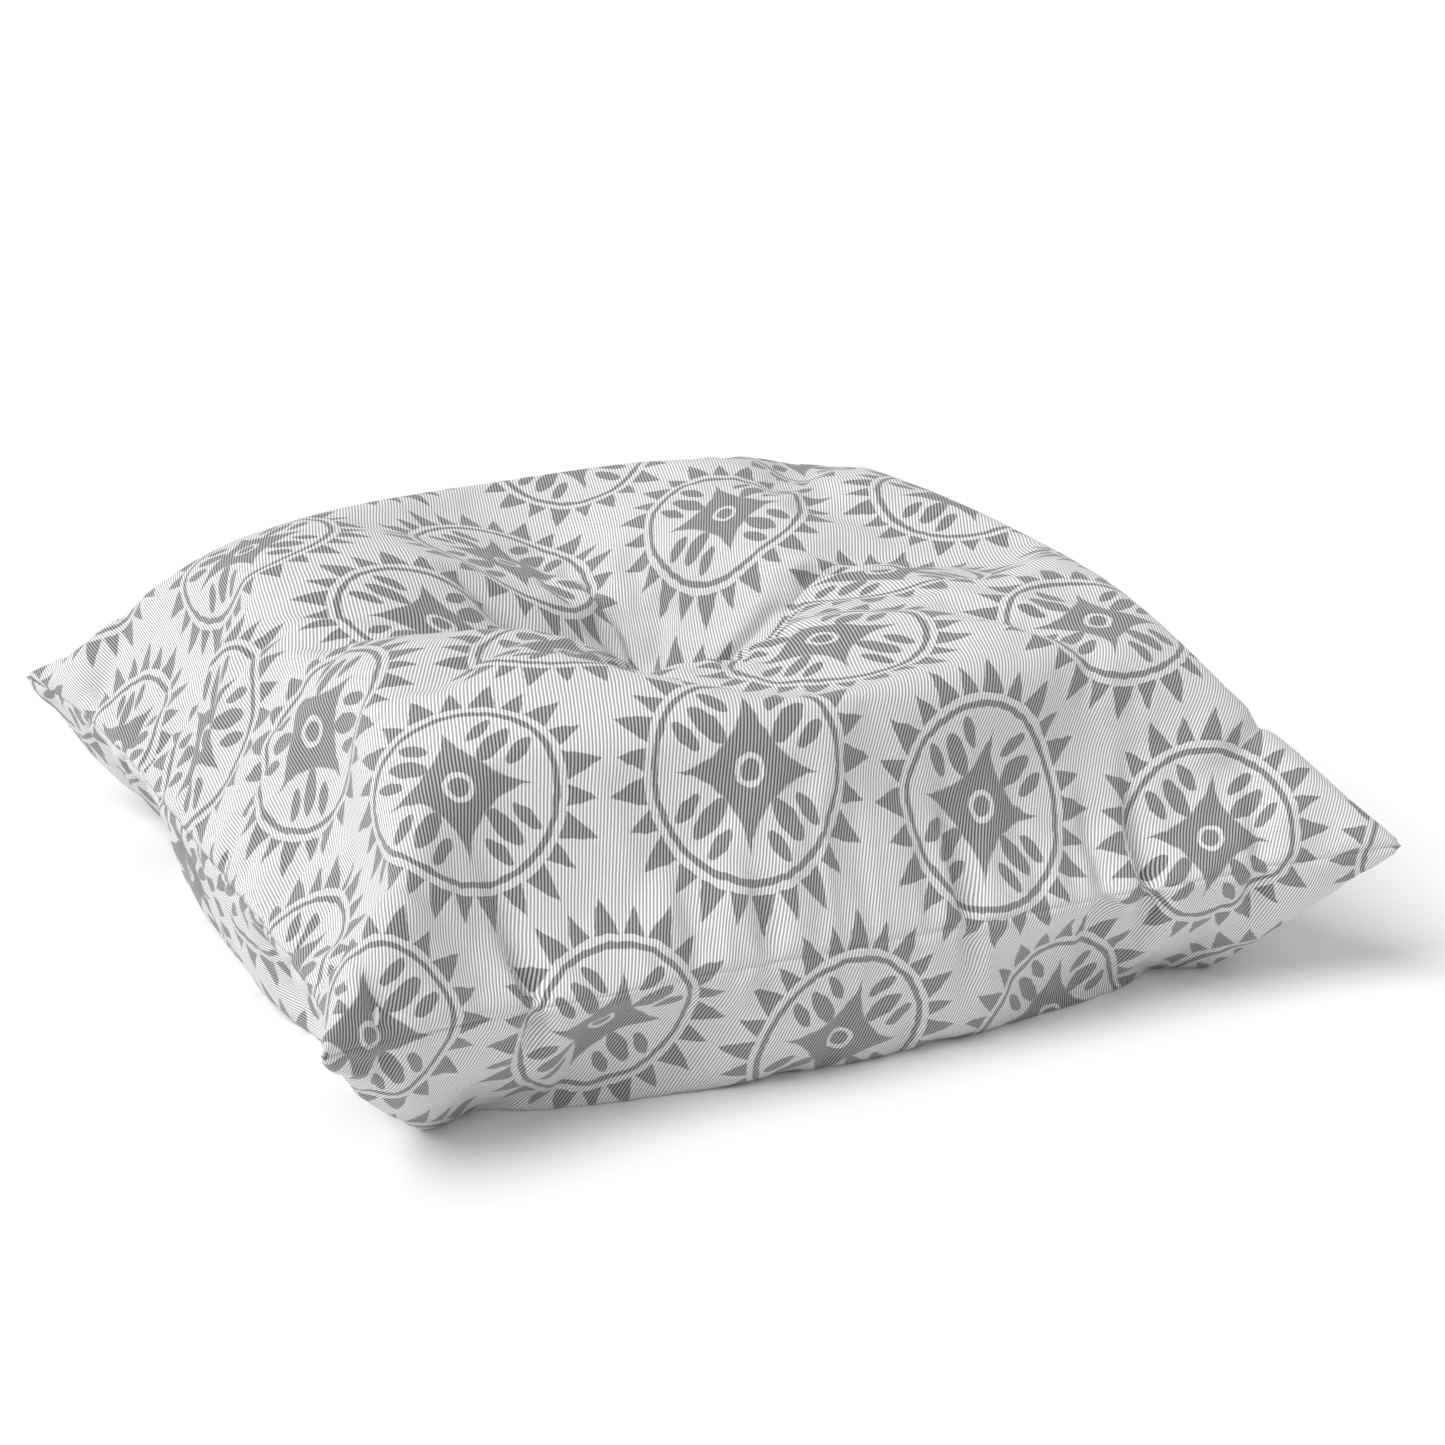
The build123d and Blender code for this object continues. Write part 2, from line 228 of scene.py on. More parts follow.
near_tuft = np.hypot(*read(cover.data)[:, :2].T) < TUFT_HOLD
fill_with_air(cover, on_seam(cover.data) | near_tuft)
PRINT_HALF = 0.35
FRONT_PUCKERS = (-0.87, -0.61, -0.33, -0.21, 0.16, 0.43, 0.52, 0.73)
FRONT_DEPTHS = (0.6, 1.0, 0.45, 0.35, 0.7, 0.7, 1.0, 0.6)
PUCKER_DEPTH = 0.013
PUCKER_SHARP = 0.0045
PUCKER_SOFT = 0.010
PUCKER_LENGTH = 0.100
SHORTEST = 0.6
UNDER_SHORTER = 0.7
SIDE_PUCKERS = 8
SIDE_REACH = 0.78
SIDE_STRAY = 0.06
SHALLOWEST = 0.3
FIRST_SEED = 20
SEAM_SHARE = 0.25
SEAM_RUN = 0.015
SEAM_CREASE = 0.0015
SEAM_ROLL = 0.006
FRONT = 0
BACK = 2
MOUTH_HALF = 0.206
MOUTH_END = 0.010
MOUTH_LIP = 0.006
LIP_RUN = 0.030
HEM = 0.0055


def smooth(value):
    """A soft step from 0 to 1."""
    value = np.clip(value, 0, 1)
    return value * value * (3 - 2 * value)


def normals(mesh):
    """Unit normals at a mesh's points."""
    rows = np.zeros(len(mesh.vertices) * 3)
    mesh.vertex_normals.foreach_get("vector", rows)
    return rows.reshape(-1, 3)


def pucker_places(side):
    """Relative places and strengths of one side's puckers. The zip keeps most of the back side flat."""
    if side == FRONT:
        return zip(FRONT_PUCKERS, FRONT_DEPTHS)
    draws = np.random.default_rng(FIRST_SEED + side)
    strays = draws.uniform(-SIDE_STRAY, SIDE_STRAY, SIDE_PUCKERS)
    places = np.linspace(-SIDE_REACH, SIDE_REACH, SIDE_PUCKERS) + strays
    depths = draws.uniform(SHALLOWEST, 1.0, SIDE_PUCKERS)
    if side == BACK:
        beside_zip = np.abs(places) * HALF > MOUTH_HALF + MOUTH_END
        places, depths = places[beside_zip], depths[beside_zip]
    return zip(places, depths)


def gathered(mesh):
    """Points of the cover with the short puckers that the seam gathers into both panels."""
    points, outward, where = read(mesh), normals(mesh), read(mesh, "place")
    nearest = (1 - np.abs(where[:, :2]).max(axis=1)) * PRINT_HALF
    points -= outward * (SEAM_CREASE * (1 - smooth(nearest / SEAM_ROLL)))[:, None]
    for side, (axis, sign) in enumerate(((1, -1), (0, 1), (1, 1), (0, -1))):
        away = (1 - sign * where[:, axis]) * PRINT_HALF
        along = where[:, 1 - axis]
        for middle, strength in pucker_places(side):
            across = (along - middle) * HALF
            width = np.where(across < 0, PUCKER_SHARP, PUCKER_SOFT)
            long = PUCKER_LENGTH * (SHORTEST + (1 - SHORTEST) * strength)
            long = np.where(where[:, 2] < 0, UNDER_SHORTER * long, long)
            run = SEAM_SHARE + (1 - SEAM_SHARE) * smooth(away / SEAM_RUN)
            run *= 1 - smooth(away / long)
            depth = PUCKER_DEPTH * strength * np.exp(-((across / width) ** 2)) * run
            points -= outward * depth[:, None]
    points[:, 2] = points[:, 2].clip(0)
    return points


def panel(closed, over, name):
    """One panel of a closed pair as a piece of its own, with its place on the print as a UV map."""
    bm = bmesh.new()
    bm.from_mesh(closed)
    where = bm.verts.layers.float_vector["place"]
    side = 1 if over else -1
    other = [face for face in bm.faces if sum(vert[where].z for vert in face.verts) * side < 0]
    bmesh.ops.delete(bm, geom=other, context="FACES")
    centre = min(bm.verts, key=lambda vert: vert[where].xy.length)
    bmesh.ops.delete(bm, geom=[centre], context="VERTS")
    uv = bm.loops.layers.uv.new("print")
    for face in bm.faces:
        face.smooth = True
        for loop in face.loops:
            s, t, _ = loop.vert[where]
            loop[uv].uv = (s * PRINT_HALF, (t if over else -2 - t) * PRINT_HALF)
    return new_piece(name, finished(bm, name))


def open_mouth(piece, over):
    """Part one lip of the zip's mouth in the back seam and turn its hem in towards the zip."""
    side = 1 if over else -1
    bm = bmesh.new()
    bm.from_mesh(piece.data)
    where = bm.verts.layers.float_vector["place"]
    lip = set()
    for vert in bm.verts:
        away = (1 - vert[where].y) * PRINT_HALF
        part = smooth((MOUTH_HALF - abs(vert.co.x)) / MOUTH_END) * (1 - smooth(away / LIP_RUN))
        vert.co.z += side * MOUTH_LIP * float(part)
        if away < 1e-6 and abs(vert.co.x) < MOUTH_HALF:
            lip.add(vert)
    edges = [edge for edge in bm.edges if edge.is_boundary and set(edge.verts) <= lip]
    for _ in range(2):
        made = bmesh.ops.extrude_edge_only(bm, edges=edges)["geom"]
        for vert in (item for item in made if isinstance(item, bmesh.types.BMVert)):
            vert.co.y -= HEM / 2
        edges = [item for item in made if isinstance(item, bmesh.types.BMEdge) and item.is_boundary]
        edges = [edge for edge in edges if abs(edge.verts[0].co.y - edge.verts[1].co.y) < HEM / 4]
    bm.to_mesh(piece.data)
    bm.free()


def thicken(piece, thickness):
    """Give a panel its cloth's thickness, inward, and apply it."""
    solid = piece.modifiers.new("Cloth thickness", "SOLIDIFY")
    solid.thickness = thickness
    solid.offset = -1
    apply_modifiers(piece)


coarse_cover = cover.data.copy()
finer = cover.modifiers.new("Finer", "SUBSURF")
finer.levels = finer.render_levels = 1
apply_modifiers(cover)
gathered_cover = cover.data
write(gathered_cover, gathered(gathered_cover))
cover_top = panel(gathered_cover, True, "cover_top")
cover_bottom = panel(gathered_cover, False, "cover_bottom")
bpy.data.objects.remove(cover)
for piece, over in ((cover_top, True), (cover_bottom, False)):
    open_mouth(piece, over)
    thicken(piece, CLOTH)
    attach(piece, "cushion")
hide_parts("top_panel")
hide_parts("bottom_panel")

# Cover cloth ---------------------------------------------------------------------------------------
# An off-white woven cotton, with a grey sunburst printed on it in a half-drop repeat. The diagonal ribs
# of its twill weave show as fine lines: bumps, with painted light on the ribs and painted shade in the
# grooves between them.
# Painted light and shade: the ribs' white and grey are lit copies of the cloth and its print, and the
# grooves' greys are shaded copies.
LIT_RIB_WHITE = (0.90, 0.895, 0.885, 1)
LIT_RIB_INK = (0.44, 0.44, 0.445, 1)
SHADED_GROOVE = (0.36, 0.36, 0.365, 1)
SHADED_GROOVE_INK = (0.09, 0.09, 0.095, 1)
REPEAT = 0.150
PRINT_TURN = radians(12)
PRINT_SHIFT = (0.010, 0.012, 0)
WOBBLE = 0.0022
WOBBLE_FINENESS = 160.0
RING = 0.050
RING_WIDTH = 0.0016
RING_EDGE = (1.25, 0.8)
RAYS = 24
RAY_START = 0.0555
RAY_END = 0.072
RAY_LONGER = 0.004
RAY_FILL = 0.85
RAY_EDGE = 0.05
STAR = 0.040
STAR_POWER = 0.62
STAR_EDGE = (1.02, 0.96)
EYE = 0.0065
EYE_INSIDE = 0.0010
EYE_OUTSIDE = 0.0018
# Each leaf: how far out its middle is, half its length, half its width, and how far aside it lies
LEAVES = ((0.0300, 0.0125, 0.0052, 0.0), (0.0350, 0.0090, 0.0038, 0.0118))
LEAF_POWER = 1.6
LEAF_EDGE = (1.1, 0.9)
NOISE_DETAIL = 2.0
RIB_PITCH = 0.0018
RIB_LEAN = radians(19)
RIB_START = 0.25
RIB_END = 0.75
RIB_DRIFT = 0.8
DRIFT_FINENESS = 22.0
YARN_FINENESS = 1500.0
YARN_TONE = 0.16
YARN_HEIGHT = 0.5
CLOTH_BUMP = 0.6
RIB_HEIGHT = 0.0003


class Nodes:
    """A short way to add and join shader nodes in one tree."""

    def __init__(self, tree):
        self.tree = tree

    def feed(self, value, socket):
        """Join another node's output to a socket, or set the socket's own value."""
        if isinstance(value, bpy.types.NodeSocket):
            self.tree.links.new(value, socket)
        elif value is not None:
            socket.default_value = value

    def add(self, kind, *inputs, **settings):
        """A node of a kind, with its inputs in order, as its first output. None leaves an input alone."""
        node = self.tree.nodes.new("ShaderNode" + kind)
        for name, value in settings.items():
            setattr(node, name, value)
        for value, socket in zip(inputs, node.inputs):
            self.feed(value, socket)
        return node.outputs[0]

    def object_place(self):
        return self.add("TexCoord").node.outputs["Object"]

    def bump(self, height, shader, strength, distance):
        """Feed a height to a shader's normal."""
        node = self.add("Bump", strength, distance).node
        self.feed(height, node.inputs["Height"])
        self.feed(node.outputs[0], shader.inputs["Normal"])

    def math(self, operation, *inputs):
        return self.add("Math", *inputs, operation=operation)

    def vector(self, operation, *inputs):
        return self.add("VectorMath", *inputs, operation=operation)

    def measure(self, operation, *inputs):
        """The single number that a vector operation such as LENGTH gives."""
        return self.vector(operation, *inputs).node.outputs["Value"]

    def absolute(self, value):
        return self.math("ABSOLUTE", value)

    def noise(self, place, fineness, detail, dimensions="3D"):
        """A noise's value. Its colour is another output of the same node."""
        return self.add("TexNoise", place, None, fineness, detail, noise_dimensions=dimensions)

    def step(self, value, start, end):
        """0 at start and 1 at end, with a soft step between them."""
        return self.add("MapRange", value, start, end, interpolation_type="SMOOTHSTEP")

    def toned(self, colour, amount):
        """A colour made lighter or darker by a factor."""
        return self.vector("MULTIPLY", colour, self.add("CombineColor", amount, amount, amount))

    def blend(self, factor, first, second, kind="RGBA"):
        node = self.tree.nodes.new("ShaderNodeMix")
        node.data_type = kind
        wanted = [item for item in node.inputs if item.enabled]
        for value, socket in zip((factor, first, second), wanted):
            self.feed(value, socket)
        return next(item for item in node.outputs if item.enabled)

    def use(self, group_tree, **inputs):
        """A node group in this tree, with its named inputs, as its outputs."""
        node = self.tree.nodes.new("ShaderNodeGroup")
        node.node_tree = group_tree
        for name, value in inputs.items():
            self.feed(value, node.inputs[name])
        return node.outputs


def group(name, inputs, outputs):
    """An empty node group with named sockets, as (node helper, inputs' sockets, outputs' sockets)."""
    tree = bpy.data.node_groups.new(name, "ShaderNodeTree")
    for way, sockets in (("INPUT", inputs), ("OUTPUT", outputs)):
        for socket_name, kind in sockets.items():
            tree.interface.new_socket(socket_name, in_out=way, socket_type="NodeSocket" + kind)
    n = Nodes(tree)
    return n, tree.nodes.new("NodeGroupInput").outputs, tree.nodes.new("NodeGroupOutput").inputs


def sunburst_group():
    """Mask of the printed sunburst: a ring, rays round it, and a star and leaves in it."""
    n, start, end = group("Sunburst print", {"Place": "Vector"}, {"Ink": "Float"})
    noise = n.noise(start["Place"], WOBBLE_FINENESS, NOISE_DETAIL, "2D").node.outputs["Color"]
    shaken = n.vector("MULTIPLY", n.vector("SUBTRACT", noise, (0.5, 0.5, 0.5)), (WOBBLE, WOBBLE, 0))
    place = n.vector("ADD", start["Place"], shaken)

    # The middle of the nearest motif, of two sets that lie half a repeat apart
    half = (REPEAT / 2, REPEAT * 3**0.5 / 2, 1)
    least = tuple(-item for item in half)
    first = n.vector("WRAP", place, half, least)
    second = n.vector("WRAP", n.vector("ADD", place, (half[0], half[1], 0)), half, least)
    nearer = n.math("LESS_THAN", n.measure("LENGTH", first), n.measure("LENGTH", second))
    spot = n.blend(nearer, second, first, "VECTOR")
    apart = n.add("SeparateXYZ", spot).node.outputs
    x, y = apart["X"], apart["Y"]
    away = n.measure("LENGTH", n.vector("MULTIPLY", spot, (1, 1, 0)))
    turn = n.math("ARCTAN2", y, x)

    off_ring = n.absolute(n.math("SUBTRACT", away, RING))
    ring = n.step(off_ring, *(RING_WIDTH * share for share in RING_EDGE))

    # Pointed rays, every other one longer
    share = n.math("FRACT", n.math("ADD", n.math("MULTIPLY", turn, RAYS / (2 * pi)), RAYS))
    share = n.absolute(n.math("SUBTRACT", n.math("MULTIPLY", share, 2.0), 1.0))
    longer = n.math("GREATER_THAN", n.math("SINE", n.math("MULTIPLY", turn, RAYS / 2)), 0.0)
    tip = n.math("ADD", n.math("MULTIPLY", longer, RAY_LONGER), RAY_END - RAY_LONGER / 2)
    slope = n.math("DIVIDE", n.math("SUBTRACT", tip, away), RAY_END - RAY_START)
    ray = n.math("SUBTRACT", slope, n.math("DIVIDE", share, RAY_FILL))
    ray = n.step(ray, -RAY_EDGE, RAY_EDGE)
    ray = n.math("MULTIPLY", ray, n.math("GREATER_THAN", away, RAY_START))

    # A star of four points, with a plain eye in it
    across, up = n.absolute(x), n.absolute(y)
    curve = n.math("ADD", n.math("POWER", across, STAR_POWER), n.math("POWER", up, STAR_POWER))
    star = n.step(curve, *(STAR**STAR_POWER * share for share in STAR_EDGE))
    off_eye = n.absolute(n.math("SUBTRACT", away, EYE))
    star = n.math("MULTIPLY", star, n.step(off_eye, EYE_INSIDE, EYE_OUTSIDE))
    ink = n.math("MAXIMUM", n.math("MAXIMUM", ring, ray), star)

    # Oval leaves on the diagonals between its points
    diagonal = n.math("MULTIPLY", n.math("ADD", across, up), 0.5**0.5)
    beside = n.absolute(n.math("MULTIPLY", n.math("SUBTRACT", across, up), 0.5**0.5))
    for middle, long, wide, aside in LEAVES:
        one = n.absolute(n.math("DIVIDE", n.math("SUBTRACT", diagonal, middle), long))
        two = n.math("DIVIDE", n.math("SUBTRACT", beside, aside), wide)
        oval = n.math("ADD", n.math("POWER", one, LEAF_POWER), n.math("MULTIPLY", two, two))
        ink = n.math("MAXIMUM", ink, n.step(oval, *LEAF_EDGE))
    n.feed(ink, end["Ink"])
    return n.tree


def twill_group():
    """Height of the diagonal ribs of a twill weave, from 0 in the grooves to 1 on the ribs."""
    n, start, end = group("Twill ribs", {"Place": "Vector"}, {"Rib": "Float", "Yarn": "Float"})
    drift = n.noise(start["Place"], DRIFT_FINENESS, NOISE_DETAIL, "2D")
    along = n.measure("DOT_PRODUCT", start["Place"], (cos(RIB_LEAN), -sin(RIB_LEAN), 0))
    phase = n.math("ADD", n.math("DIVIDE", along, RIB_PITCH), n.math("MULTIPLY", drift, RIB_DRIFT))
    rib = n.math("SINE", n.math("MULTIPLY", phase, 2 * pi))
    n.feed(n.math("ADD", n.math("MULTIPLY", rib, 0.5), 0.5), end["Rib"])
    n.feed(n.noise(start["Place"], YARN_FINENESS, NOISE_DETAIL, "2D"), end["Yarn"])
    return n.tree


def material(name, values):
    """A new material with its uniform shader values set, as (material, node helper, shader node)."""
    made = bpy.data.materials.new(name)
    made.use_nodes = True
    shader = made.node_tree.nodes["Principled BSDF"]
    for socket, value in values.items():
        shader.inputs[socket].default_value = value
    return made, Nodes(made.node_tree), shader


sunburst = sunburst_group()
twill = twill_group()


def printed_cloth(name, place_from):
    """Printed twill that reads its place from a UV map, or from Object coordinates if it is None."""
    values = {"Roughness": 0.9, "Specular IOR Level": 0.2, "Sheen Weight": 0.15}
    made, n, shader = material(name, values)
    place = n.add("UVMap", uv_map=place_from) if place_from else n.object_place()
    turned = n.add("Mapping", place, PRINT_SHIFT, (0, 0, PRINT_TURN))
    ink = n.use(sunburst, Place=turned)["Ink"]
    weave = n.use(twill, Place=place)
    # The ribs take the painted lit colours and the grooves between them take the painted shade, on the
    # print as well as on the cloth.
    rib = n.step(weave["Rib"], RIB_START, RIB_END)
    lit_and_shaded_print = n.blend(rib, n.blend(ink, SHADED_GROOVE, SHADED_GROOVE_INK), n.blend(ink, LIT_RIB_WHITE, LIT_RIB_INK))
    mottle = n.math("ADD", n.math("MULTIPLY", weave["Yarn"], YARN_TONE), 1 - YARN_TONE / 2)
    n.feed(n.toned(lit_and_shaded_print, mottle), shader.inputs["Base Color"])
    height = n.math("ADD", weave["Rib"], n.math("MULTIPLY", weave["Yarn"], YARN_HEIGHT))
    n.bump(height, shader, CLOTH_BUMP, RIB_HEIGHT)
    return made


def clothe(piece, finish):
    """Give a piece one material."""
    piece.data.materials.clear()
    piece.data.materials.append(finish)


cover_cloth = printed_cloth("printed twill", "print")
clothe(cover_top, cover_cloth)
clothe(cover_bottom, cover_cloth)

# Buttons -------------------------------------------------------------------------------------------
# Two covered buttons, one on each side of the tuft: a moulded former capped with the cover's own cloth,
# closed by a plate that holds a bent wire shank.
PLASTIC = (0.78, 0.78, 0.76, 1)
STEEL = (0.52, 0.52, 0.53, 1)
GRAIN_DETAIL = 3.0
GRAIN_TONE = 0.2
GRAIN_BUMP = 0.5


def grain_group():
    """A colour with a fine uneven grain, and the grain's height."""
    inputs = {"Place": "Vector", "Colour": "Color", "Fineness": "Float"}
    n, start, end = group("Fine grain", inputs, {"Colour": "Color", "Height": "Float"})
    cloud = n.noise(start["Place"], start["Fineness"], GRAIN_DETAIL)
    tone = n.math("ADD", n.math("MULTIPLY", cloud, GRAIN_TONE), 1 - GRAIN_TONE / 2)
    n.feed(n.toned(start["Colour"], tone), end["Colour"])
    n.feed(cloud, end["Height"])
    return n.tree


fine_grain = grain_group()


def plain(name, colour, roughness, fineness, depth, metallic=0.0):
    """A material of one colour with a fine grain, for mouldings, wire and plain cloth."""
    made, n, shader = material(name, {"Roughness": roughness, "Metallic": metallic})
    grain = n.use(fine_grain, Place=n.object_place(), Colour=colour, Fineness=fineness)
    n.feed(grain["Colour"], shader.inputs["Base Color"])
    n.bump(grain["Height"], shader, GRAIN_BUMP, depth)
    return made


button_cloth = printed_cloth("button twill", None)
plastic = plain("moulded plastic", PLASTIC, roughness=0.45, fineness=900.0, depth=0.00003)
steel = plain("steel wire", STEEL, roughness=0.3, fineness=1500.0, depth=0.00002, metallic=1.0)
for end in ("top", "bottom"):
    clothe(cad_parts[f"{end}_button_cloth"], button_cloth)
    clothe(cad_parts[f"{end}_button_former"], plastic)
    clothe(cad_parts[f"{end}_button_plate"], plastic)
    clothe(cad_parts[f"{end}_button_shank"], steel)

# Insert and filling --------------------------------------------------------------------------------
# A plain pillow of thin non-woven lining, sewn a little smaller than the cover and stuffed with loose
# polyester fibre. It takes the cover's shape from inside, and a tunnel through it lets the twine pass.
LINING = 0.0004
INSERT_INSET = 0.012
INSERT_DEPTH = 0.0022
FILL_INSET = 0.016
FILL_DEPTH = 0.0030
INSET_RUN = 0.2
SLACK_RUN = 1.2
LINING_WHITE = (0.86, 0.86, 0.85, 1)
FIBRE_WHITE = (0.90, 0.90, 0.89, 1)


def drawn_in(inset, depth):
    """The settled shape as a closed mesh, drawn in from its seam and set below its surface and puckers."""
    made = coarse_cover.copy()
    where = read(made, "place")
    nearest = (1 - np.abs(where[:, :2]).max(axis=1)) * PRINT_HALF
    slack = PUCKER_DEPTH * (1 - smooth(nearest / (PUCKER_LENGTH * SLACK_RUN)))
    points = read(made) - normals(made) * (depth + slack)[:, None]
    for axis in (0, 1):
        near = smooth((np.abs(where[:, axis]) - 1 + INSET_RUN) / INSET_RUN)
        points[:, axis] -= inset * near * np.sign(where[:, axis])
    write(made, points)
    return made


def tunnelled(closed, name):
    """A closed shape as a solid piece with a narrow tunnel from its top to its underside."""
    bm = bmesh.new()
    bm.from_mesh(closed)
    where = bm.verts.layers.float_vector["place"]
    centres = sorted(bm.verts, key=lambda vert: vert[where].xy.length)[:2]
    bmesh.ops.delete(bm, geom=centres, context="VERTS")
    bmesh.ops.bridge_loops(bm, edges=[edge for edge in bm.edges if edge.is_boundary])
    bmesh.ops.recalc_face_normals(bm, faces=bm.faces)
    for face in bm.faces:
        face.smooth = True
    return new_piece(name, finished(bm, name))


lining = plain("non-woven lining", LINING_WHITE, roughness=0.9, fineness=700.0, depth=0.0002)
fibre = plain("polyester fibre", FIBRE_WHITE, roughness=0.95, fineness=300.0, depth=0.001)
insert_shape = drawn_in(INSERT_INSET, INSERT_DEPTH)
insert_upper = panel(insert_shape, True, "insert_upper")
insert_lower = panel(insert_shape, False, "insert_lower")
filling = tunnelled(drawn_in(FILL_INSET, FILL_DEPTH), "filling")
for piece, node in ((insert_upper, "insert_top_sheet"), (insert_lower, "insert_bottom_sheet")):
    thicken(piece, LINING)
    clothe(piece, lining)
    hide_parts(node)
clothe(filling, fibre)
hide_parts("fibre_fill")
for piece in (insert_upper, insert_lower, filling):
    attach(piece, "cushion")

# Thread and twine ----------------------------------------------------------------------------------
# Off-white sewing thread in the seams of the cover and of the insert, and a waxed twine that runs between
# the two buttons and is knotted below.
THREAD = 0.0006
THREAD_INSET = 0.0016
STITCH = 0.0030
THREAD_WHITE = (0.80, 0.79, 0.76, 1)
TWINE_WHITE = (0.72, 0.69, 0.62, 1)


def strand(name, points, thickness, closed=False):
    """A round strand along a line of points, as a mesh piece that rides with the cushion."""
    curve = bpy.data.curves.new(name, "CURVE")
    curve.dimensions = "3D"
    curve.bevel_depth = thickness / 2
    curve.bevel_resolution = 1
    curve.use_fill_caps = True
    spline = curve.splines.new("POLY")
    spline.points.add(len(points) - 1)
    spline.points.foreach_set("co", np.column_stack([points, np.ones(len(points))]).ravel())
    spline.use_cyclic_u = closed
    drawn = bpy.data.objects.new(name, curve)
    mesh = bpy.data.meshes.new_from_object(drawn)
    bpy.data.objects.remove(drawn)
    mesh.name = name
    mesh.shade_smooth()
    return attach(new_piece(name, mesh), "cushion")


def round_seam(closed, inset):
    """The seam's points in order, from the right end of the zip's mouth round to its left end."""
    ring = read(closed)[on_seam(closed)]
    ring = ring[np.argsort(np.arctan2(ring[:, 0], ring[:, 1]) % (2 * pi))]
    ring[:, :2] *= 1 - inset / HALF
    return ring


thread = plain("sewing thread", THREAD_WHITE, roughness=0.7, fineness=4000.0, depth=0.0001)
ring = round_seam(gathered_cover, THREAD_INSET)
in_mouth = (ring[:, 1] > HALF / 2) & (np.abs(ring[:, 0]) < MOUTH_HALF)
cover_seam = strand("cover_seam_stitches", ring[~in_mouth], THREAD)
insert_ring = round_seam(insert_shape, THREAD_INSET)
insert_seam = strand("insert_seam_stitches", insert_ring, THREAD, closed=True)
for piece, node in ((cover_seam, "cover_seam_thread"), (insert_seam, "insert_seam_thread")):
    clothe(piece, thread)
    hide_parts(node)
twine = plain("waxed twine", TWINE_WHITE, roughness=0.6, fineness=2500.0, depth=0.0002)
clothe(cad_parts["tuft_twine"], twine)
clothe(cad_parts["tuft_knot"], twine)

# Zip -----------------------------------------------------------------------------------------------
# A closed nylon coil zip set into the back seam, with woven tapes, metal stops and a metal slider and pull.
# Each lip of the mouth is turned in and topstitched to its tape.
COIL_PITCH = 0.0014
COIL_WIRE = 0.00055
COIL_REACH = 0.0009
COIL_POINTS = 12
STITCH_AWAY = 0.0065
STITCH_SHARE = 0.38
STITCH_ENDS = 0.004
TAPE_WHITE = (0.74, 0.735, 0.72, 1)
COIL_WHITE = (0.80, 0.79, 0.77, 1)
NICKEL = (0.56, 0.56, 0.57, 1)


def zip_coil(side, node):
    """One row of a coil zip: a flattened helix whose loops reach between those of the other row."""
    low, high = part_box(node)
    inner, outer = (low.z, high.z) if side > 0 else (high.z, low.z)
    inner -= side * COIL_REACH
    deep = (high.y - low.y - COIL_WIRE) / 2
    tall = (abs(outer - inner) - COIL_WIRE) / 2
    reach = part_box(node.replace("coil", "tape"))[1].x - COIL_WIRE
    turns = int(2 * reach / COIL_PITCH - 1)
    steps = np.arange(turns * COIL_POINTS)
    angle = 2 * pi * steps / COIL_POINTS
    x = -reach + COIL_PITCH * (steps / COIL_POINTS + (0.5 if side > 0 else 0))
    y = (low.y + high.y) / 2 + deep * np.cos(angle)
    z = (inner + outer) / 2 + tall * np.sin(angle)
    return strand(node.replace("zip_coil", "zip_teeth"), np.column_stack([x, y, z]), COIL_WIRE)


def topstitching(piece, side, name):
    """A row of stitches along one lip of the zip's mouth, lying on the cloth."""
    surface = BVHTree.FromObject(piece, bpy.context.evaluated_depsgraph_get())
    bm = bmesh.new()
    for x in np.arange(STITCH_ENDS - MOUTH_HALF, MOUTH_HALF - STITCH_ENDS, STITCH):
        start = Vector((x, 2 * HALF, SEAM_Z + side * (MOUTH_LIP + STITCH_AWAY)))
        spot, facing, _, _ = surface.ray_cast(start, Vector((0, -1, 0)))
        along = (Vector((1, 0, 0)) - facing * facing.x).normalized()
        turned = Matrix((along, facing.cross(along), facing)).transposed()
        size = Vector((STITCH * STITCH_SHARE, THREAD / 2, THREAD / 2))
        placed = Matrix.LocRotScale(spot, turned.to_quaternion(), size)
        bmesh.ops.create_uvsphere(bm, u_segments=8, v_segments=6, radius=1, matrix=placed)
    for face in bm.faces:
        face.smooth = True
    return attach(new_piece(name, finished(bm, name)), "cushion")


tape = plain("woven zip tape", TAPE_WHITE, roughness=0.85, fineness=1800.0, depth=0.0002)
nylon = plain("nylon coil", COIL_WHITE, roughness=0.35, fineness=800.0, depth=0.00003)
nickel = plain("nickel plating", NICKEL, roughness=0.32, fineness=1200.0, depth=0.00002, metallic=1.0)
for side, half, lip in ((1, "upper", cover_top), (-1, "lower", cover_bottom)):
    teeth = zip_coil(side, f"zip_coil_{half}")
    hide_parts(f"zip_coil_{half}")
    clothe(teeth, nylon)
    clothe(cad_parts[f"zip_tape_{half}"], tape)
    clothe(topstitching(lip, side, f"zip_topstitching_{half}"), thread)
for node in ("zip_stop_closed", "zip_stop_open", "zip_slider", "zip_pull"):
    clothe(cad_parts[node], nickel)

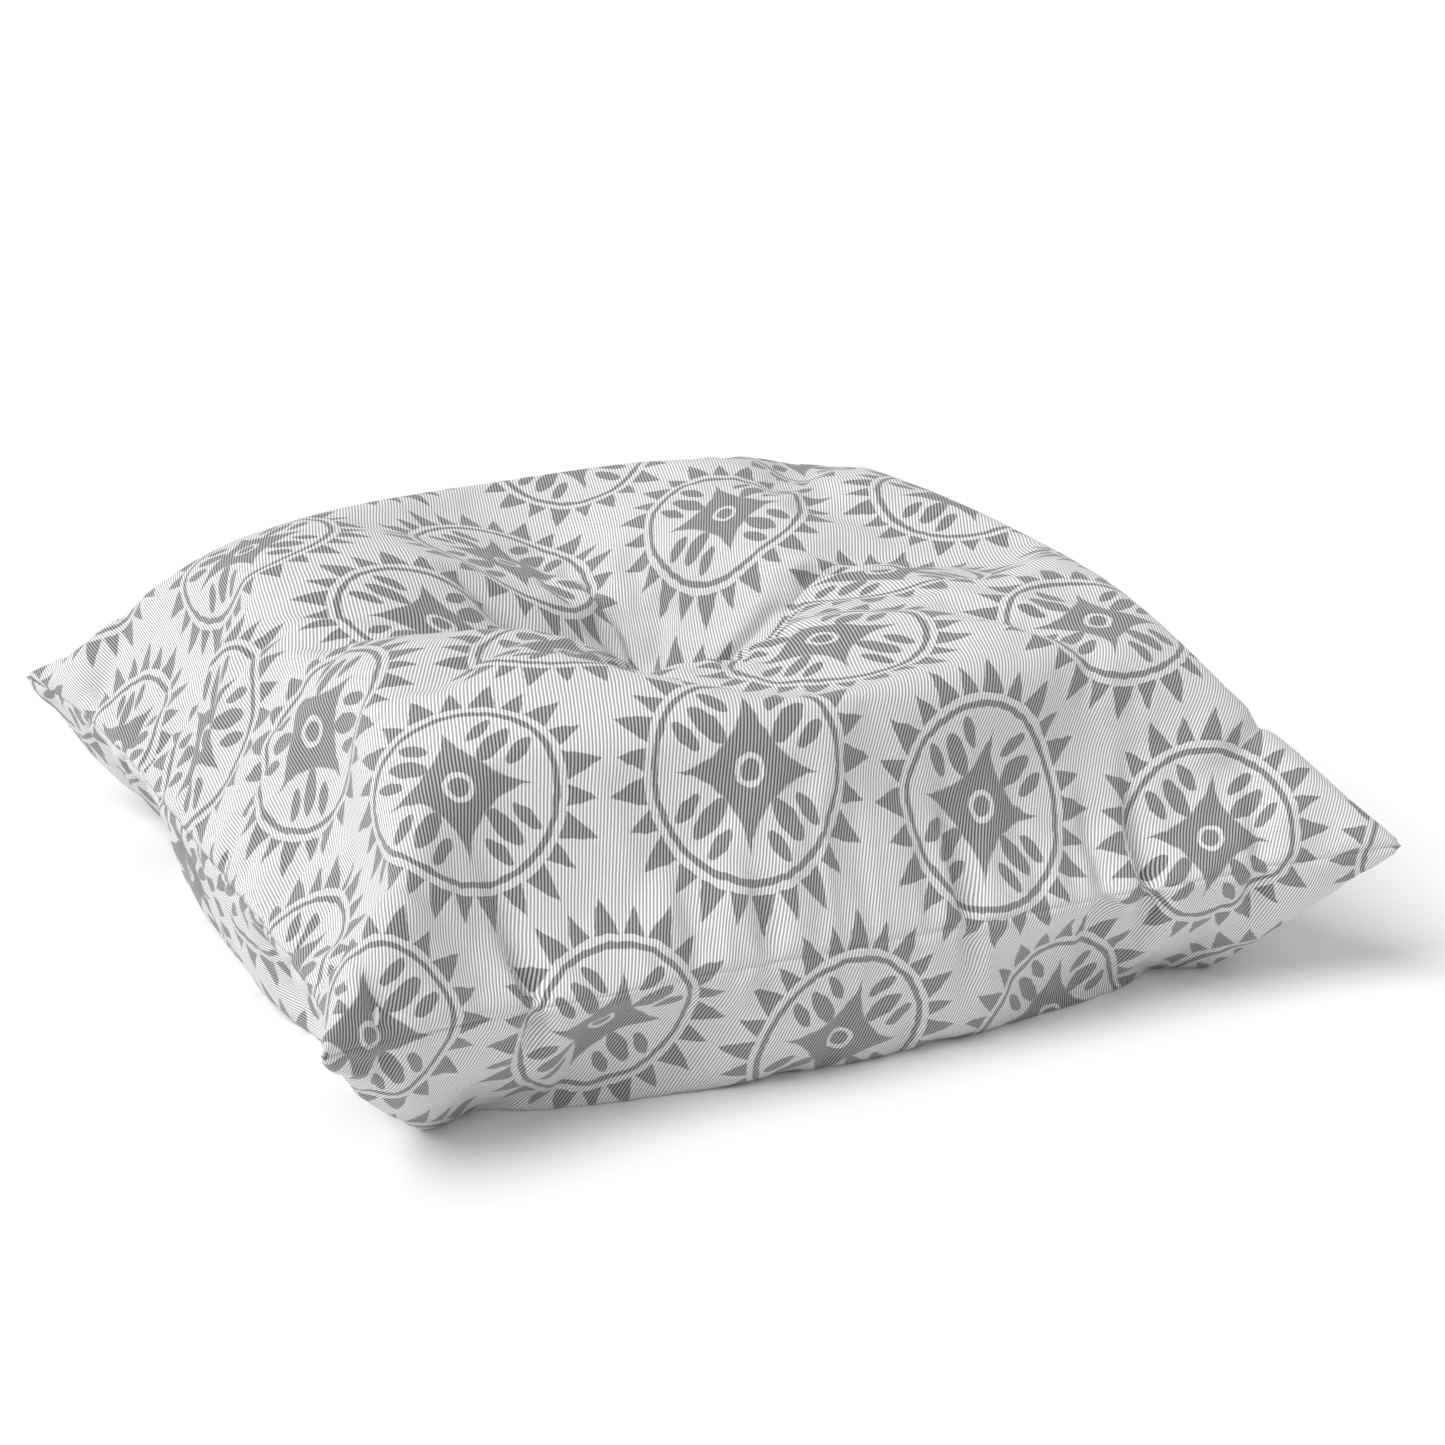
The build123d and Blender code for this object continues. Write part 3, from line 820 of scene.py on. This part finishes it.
# Floor, lights and camera --------------------------------------------------------------------------
# A plain white floor that runs out of sight, one broad soft light high on the left, and a white sky that
# looks brighter than the light it gives. The floor isn't part of the cushion.
FLOOR_HALF = 20.0
FLOOR_WHITE = (0.93, 0.93, 0.93, 1)
SKY = 0.58
SUN_POWER = 2.3
SUN_SPREAD = radians(35)
SUN_FROM = Vector((-0.80, -0.08, 0.95))
AZIMUTH = radians(-25.3)
ELEVATION = radians(19.35)
DISTANCE = 1.707
AIM = Vector((0.0097, -0.0716, 0.1323))
SENSOR_MM = 36
LENS_MM = 72

bm = bmesh.new()
bmesh.ops.create_grid(bm, x_segments=1, y_segments=1, size=FLOOR_HALF)
floor = new_piece("floor", finished(bm, "floor"))
floor_values = {"Base Color": FLOOR_WHITE, "Roughness": 0.95, "Specular IOR Level": 0.1}
clothe(floor, material("white floor", floor_values)[0])

world = bpy.data.worlds.new("sky")
world.use_nodes = True
sky = world.node_tree.nodes["Background"].inputs
sky["Color"].default_value = (1, 1, 1, 1)
n = Nodes(world.node_tree)
path = n.add("LightPath").node.outputs
seen = n.math("MULTIPLY", path["Is Camera Ray"], 1 - SKY)
n.feed(n.math("ADD", seen, SKY), sky["Strength"])
bpy.context.scene.world = world
bpy.context.scene.view_settings.view_transform = "Standard"

sun = bpy.data.lights.new("soft light", "SUN")
sun.energy = SUN_POWER
sun.angle = SUN_SPREAD
lamp = bpy.data.objects.new("soft light", sun)
lamp.rotation_euler = SUN_FROM.to_track_quat("Z", "Y").to_euler()
bpy.context.scene.collection.objects.link(lamp)

camera = bpy.data.objects.new("camera", bpy.data.cameras.new("camera"))
camera.data.sensor_width = SENSOR_MM
camera.data.lens = LENS_MM
back = Vector((sin(AZIMUTH) * cos(ELEVATION), -cos(AZIMUTH) * cos(ELEVATION), sin(ELEVATION)))
camera.location = AIM + back * DISTANCE
camera.rotation_euler = back.to_track_quat("Z", "Y").to_euler()
bpy.context.scene.collection.objects.link(camera)
bpy.context.scene.camera = camera
